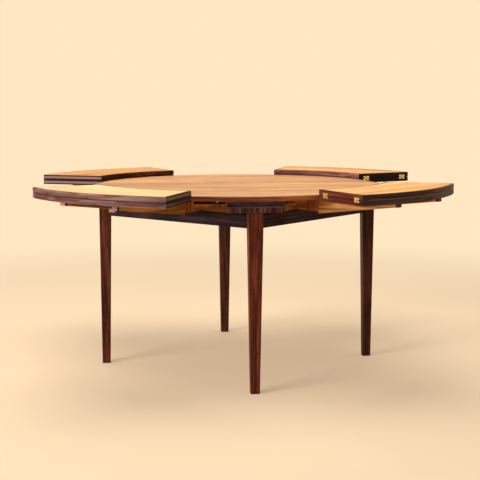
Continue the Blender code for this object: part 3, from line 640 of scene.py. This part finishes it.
def dress_all():
    """Gives every node of the frame its material."""
    dress("top_panel", top_panel_wood())
    dress("top_edge_band", band_wood())
    for k, (leg, angle) in enumerate(LEG_ANGLES.items()):
        seed = 11.0 * k
        dress(f"leg_{leg}", straight_wood(f"leg_wood_{leg}", angle, "upright", LEG_LIGHT_AND_SHADE_TONES[leg], seed,
                                          LEG_FINISH, figure=0.4, lines=0.7))
        dress(f"over_leg_block_{leg}", block_wood(f"block_wood_{leg}", angle, seed))
        dress(f"top_peg_{leg}", straight_wood(f"peg_wood_{leg}", angle, "upright", HONEY_TONES, seed,
                                              PEG_FINISH, lines=0.2))
    for k, (side, angle) in enumerate(SIDE_ANGLES.items()):
        seed = 5.0 + 13.0 * k
        dress(f"apron_{side}", apron_wood(side, angle, seed))
        rail = straight_wood(f"rail_wood_{side}", angle, "outward", HONEY_TONES, seed, INSIDE_FINISH,
                             figure=0.8, lines=0.2)
        for end, cap_start in CAP_STARTS.items():
            dress(f"guide_rail_{side}_{end}", rail)
            runner = runner_wood(f"runner_wood_{side}_{end}", side, angle, cap_start, seed)
            dress(f"runner_{side}_{end}", runner)
        dress(f"leaf_{side}", layer_wood(f"leaf_wood_{side}", side, angle, LEAF_UNDERSIDE, LEAF_UNDERSIDE,
                                         seed, LEAF_END_LIGHT[side]))
        dress(f"flap_{side}", layer_wood(f"flap_wood_{side}", side, angle, FLAP_FACE, FLAP_BACK,
                                         seed + 60, FLAP_END_LIGHT))
        for place, middle in HINGE_PLACES.items():
            metal = brass(side, angle, place, middle)
            dress(f"leaf_hinge_{side}_{place}", metal)
            dress(f"flap_hinge_{side}_{place}", metal)
    dress("centre_box", straight_wood("box_wood", 0.0, "sideways", HONEY_TONES, 70.0, INSIDE_FINISH,
                                      figure=0.9, lines=0.2))


def link(name, bm, material, body):
    """Makes a piece from a bmesh that rides on a body and takes its finish from a slot."""
    bmesh.ops.recalc_face_normals(bm, faces=bm.faces)
    mesh = bpy.data.meshes.new(name)
    bm.to_mesh(mesh)
    bm.free()
    mesh.materials.append(material)
    mesh.shade_smooth()
    mesh.set_sharp_from_angle(angle=SHARP_ANGLE)
    piece = bpy.data.objects.new(name, mesh)
    bpy.context.scene.collection.objects.link(piece)
    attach(piece, body)


def add_screw(bm, place):
    """One countersunk head, a little proud and with a slot across it, turned into place by a matrix."""
    head = bmesh.new()
    half_slot = SCREW_SLOT / 2
    for side in (1, -1):
        start = math.acos(half_slot / SCREW_RADIUS)
        turns = [start * (1 - 2 * k / SCREW_STEPS) for k in range(SCREW_STEPS + 1)]
        outline = [(side * SCREW_RADIUS * math.cos(t), SCREW_RADIUS * math.sin(t)) for t in turns]
        low = [head.verts.new((x, y, 0.0)) for x, y in outline]
        high = [head.verts.new((x * SCREW_TOP_SHARE, y * SCREW_TOP_SHARE, SCREW_RISE)) for x, y in outline]
        head.faces.new(low)
        head.faces.new(high[::-1])
        for k in range(len(low)):
            n = (k + 1) % len(low)
            head.faces.new((low[k], high[k], high[n], low[n]))
    bmesh.ops.recalc_face_normals(head, faces=head.faces)
    head.transform(place)
    copy = bpy.data.meshes.new("screw_copy")
    head.to_mesh(copy)
    head.free()
    bm.from_mesh(copy)
    bpy.data.meshes.remove(copy)


def add_hinge_screws(metal):
    """A screw in each plate. The plates stand in the hinge end's face, which looks clockwise."""
    for side, angle in SIDE_ANGLES.items():
        on_line = Matrix.Rotation(angle - HALF_SECTOR, 4, "Z")
        for place, middle in HINGE_PLACES.items():
            for part, up in (("leaf", -1), ("flap", 1)):
                bm = bmesh.new()
                spot = Vector((middle, END_GAP / 2, HINGE_LEVEL + up * SCREW_SHARE * HINGE_PLATE_HEIGHT))
                turn = Matrix.Rotation(math.radians(90), 4, "X") @ Matrix.Rotation(SCREW_TURN + up, 4, "Z")
                add_screw(bm, on_line @ Matrix.Translation(spot) @ turn)
                link(f"{part}_hinge_screw_{side}_{place}", bm, metal, f"{part}_{side}")


def add_stud(material):
    """A small round-headed stud under the rim: rings that narrow from its flat side down to its tip."""
    bm = bmesh.new()
    turns = [2 * math.pi * n / STUD_SEGMENTS for n in range(STUD_SEGMENTS)]
    rings = []
    for k in range(STUD_RINGS):
        dip = math.radians(90) * k / STUD_RINGS
        reach, level = STUD_RADIUS * math.cos(dip), -STUD_DROP * math.sin(dip)
        rings.append([bm.verts.new((reach * math.cos(t), reach * math.sin(t), level)) for t in turns])
    tip = bm.verts.new((0.0, 0.0, -STUD_DROP))
    bm.faces.new(rings[0])
    for n in range(STUD_SEGMENTS):
        m = (n + 1) % STUD_SEGMENTS
        for high, low in zip(rings, rings[1:]):
            bm.faces.new((high[n], low[n], low[m], high[m]))
        bm.faces.new((rings[-1][n], tip, rings[-1][m]))
    place = (STUD_RADIUS_OUT * math.cos(STUD_ANGLE), STUD_RADIUS_OUT * math.sin(STUD_ANGLE), TOP_UNDERSIDE)
    bm.transform(Matrix.Translation(place))
    link("rim_stud", bm, material, "top")


def stud_material():
    """Pale turned wood with a little dirt round it."""
    nodes = Nodes("stud_wood")
    place = nodes.node("ShaderNodeTexCoord").outputs["Object"]
    small = nodes.node("ShaderNodeVectorMath", {0: place, "Scale": STUD_SCALE}, operation="SCALE")
    grain = nodes.noise(small.outputs[0])
    colour = nodes.ramp(grain, STUD_RAMP)
    nodes.put(nodes.shader.inputs["Base Color"], colour)
    nodes.shader.inputs["Roughness"].default_value = STUD_ROUGHNESS
    return nodes.material


def add_surround(scene):
    """A pale surround for the camera and for reflections, and a weaker even light on the table."""
    world = bpy.data.worlds.new("surround")
    scene.world = world
    world.use_nodes = True
    tree = world.node_tree
    tree.nodes.clear()
    path = tree.nodes.new("ShaderNodeLightPath")
    seen = tree.nodes.new("ShaderNodeMath")
    seen.operation = "MAXIMUM"
    tree.links.new(path.outputs["Is Camera Ray"], seen.inputs[0])
    mirrored = tree.nodes.new("ShaderNodeMath")
    mirrored.operation = "MAXIMUM"
    tree.links.new(path.outputs["Is Glossy Ray"], mirrored.inputs[0])
    tree.links.new(path.outputs["Is Transmission Ray"], mirrored.inputs[1])
    tree.links.new(mirrored.outputs[0], seen.inputs[1])
    light = tree.nodes.new("ShaderNodeBackground")
    light.inputs["Color"].default_value = AMBIENT_COLOUR
    light.inputs["Strength"].default_value = AMBIENT
    backdrop = tree.nodes.new("ShaderNodeBackground")
    backdrop.inputs["Color"].default_value = SURROUND_COLOUR
    backdrop.inputs["Strength"].default_value = 1.0
    choice = tree.nodes.new("ShaderNodeMixShader")
    tree.links.new(seen.outputs[0], choice.inputs[0])
    tree.links.new(light.outputs[0], choice.inputs[1])
    tree.links.new(backdrop.outputs[0], choice.inputs[2])
    out = tree.nodes.new("ShaderNodeOutputWorld")
    tree.links.new(choice.outputs[0], out.inputs["Surface"])


def add_floor(scene):
    """A large round floor that the table stands on."""
    bm = bmesh.new()
    bmesh.ops.create_circle(bm, cap_ends=True, segments=FLOOR_SEGMENTS, radius=FLOOR_RADIUS)
    mesh = bpy.data.meshes.new("floor")
    bm.to_mesh(mesh)
    bm.free()
    floor = bpy.data.objects.new("floor", mesh)
    scene.collection.objects.link(floor)
    mesh.materials.append(floor_material())


def add_lamps(scene):
    """A large soft window in front on the left, and a soft light from above."""
    for name, place, size, power, tint in LAMPS:
        lamp = bpy.data.lights.new(name, "AREA")
        lamp.shape = "RECTANGLE"
        lamp.size, lamp.size_y = size
        lamp.energy = power
        lamp.color = tint
        thing = bpy.data.objects.new(name, lamp)
        thing.location = place
        aim = Vector(LAMP_AIM) - Vector(place)
        thing.rotation_euler = aim.to_track_quat("-Z", "Y").to_euler()
        scene.collection.objects.link(thing)


def add_camera(scene):
    """The camera of the photograph's view."""
    camera = bpy.data.cameras.new("camera")
    camera.lens = CAMERA_LENS
    camera.sensor_width = SENSOR
    thing = bpy.data.objects.new("camera", camera)
    thing.location = CAMERA_PLACE
    thing.rotation_euler = (math.radians(90) - CAMERA_PITCH, 0.0, -CAMERA_YAW)
    scene.collection.objects.link(thing)
    scene.camera = thing


def floor_material():
    """A matt pale floor near the table that turns into the surround further out.

    The camera sees it a little lighter than its shadows alone would leave it; no light is added to the table.
    """
    nodes = Nodes("pale_floor")
    place = nodes.node("ShaderNodeTexCoord").outputs["Object"]
    reach = nodes.node("ShaderNodeVectorMath", {0: place}, operation="LENGTH").outputs["Value"]
    fade = nodes.between(reach, FLOOR_FADE_START, FLOOR_FADE_END)
    nodes.shader.inputs["Base Color"].default_value = FLOOR_COLOUR
    nodes.shader.inputs["Roughness"].default_value = FLOOR_ROUGHNESS
    nodes.shader.inputs["Specular IOR Level"].default_value = 0.0
    glow = nodes.node("ShaderNodeEmission", {"Color": SURROUND_COLOUR, "Strength": 1.0})
    seen = nodes.node("ShaderNodeLightPath").outputs["Is Camera Ray"]
    lift = nodes.math("MULTIPLY", seen, FLOOR_LIFT)
    fade = nodes.math("MAXIMUM", fade, nodes.math("MULTIPLY_ADD", fade, 1 - FLOOR_LIFT, lift))
    both = nodes.node("ShaderNodeMixShader", {"Fac": fade})
    nodes.put(both.inputs[1], nodes.shader.outputs[0])
    nodes.put(both.inputs[2], glow.outputs[0])
    out = nodes.tree.nodes["Material Output"]
    nodes.put(out.inputs["Surface"], both.outputs[0])
    return nodes.material


dress_all()
add_hinge_screws(screw_metal())
add_stud(stud_material())

scene = bpy.context.scene
scene.view_settings.view_transform = "Standard"
add_surround(scene)
add_floor(scene)
add_lamps(scene)
add_camera(scene)
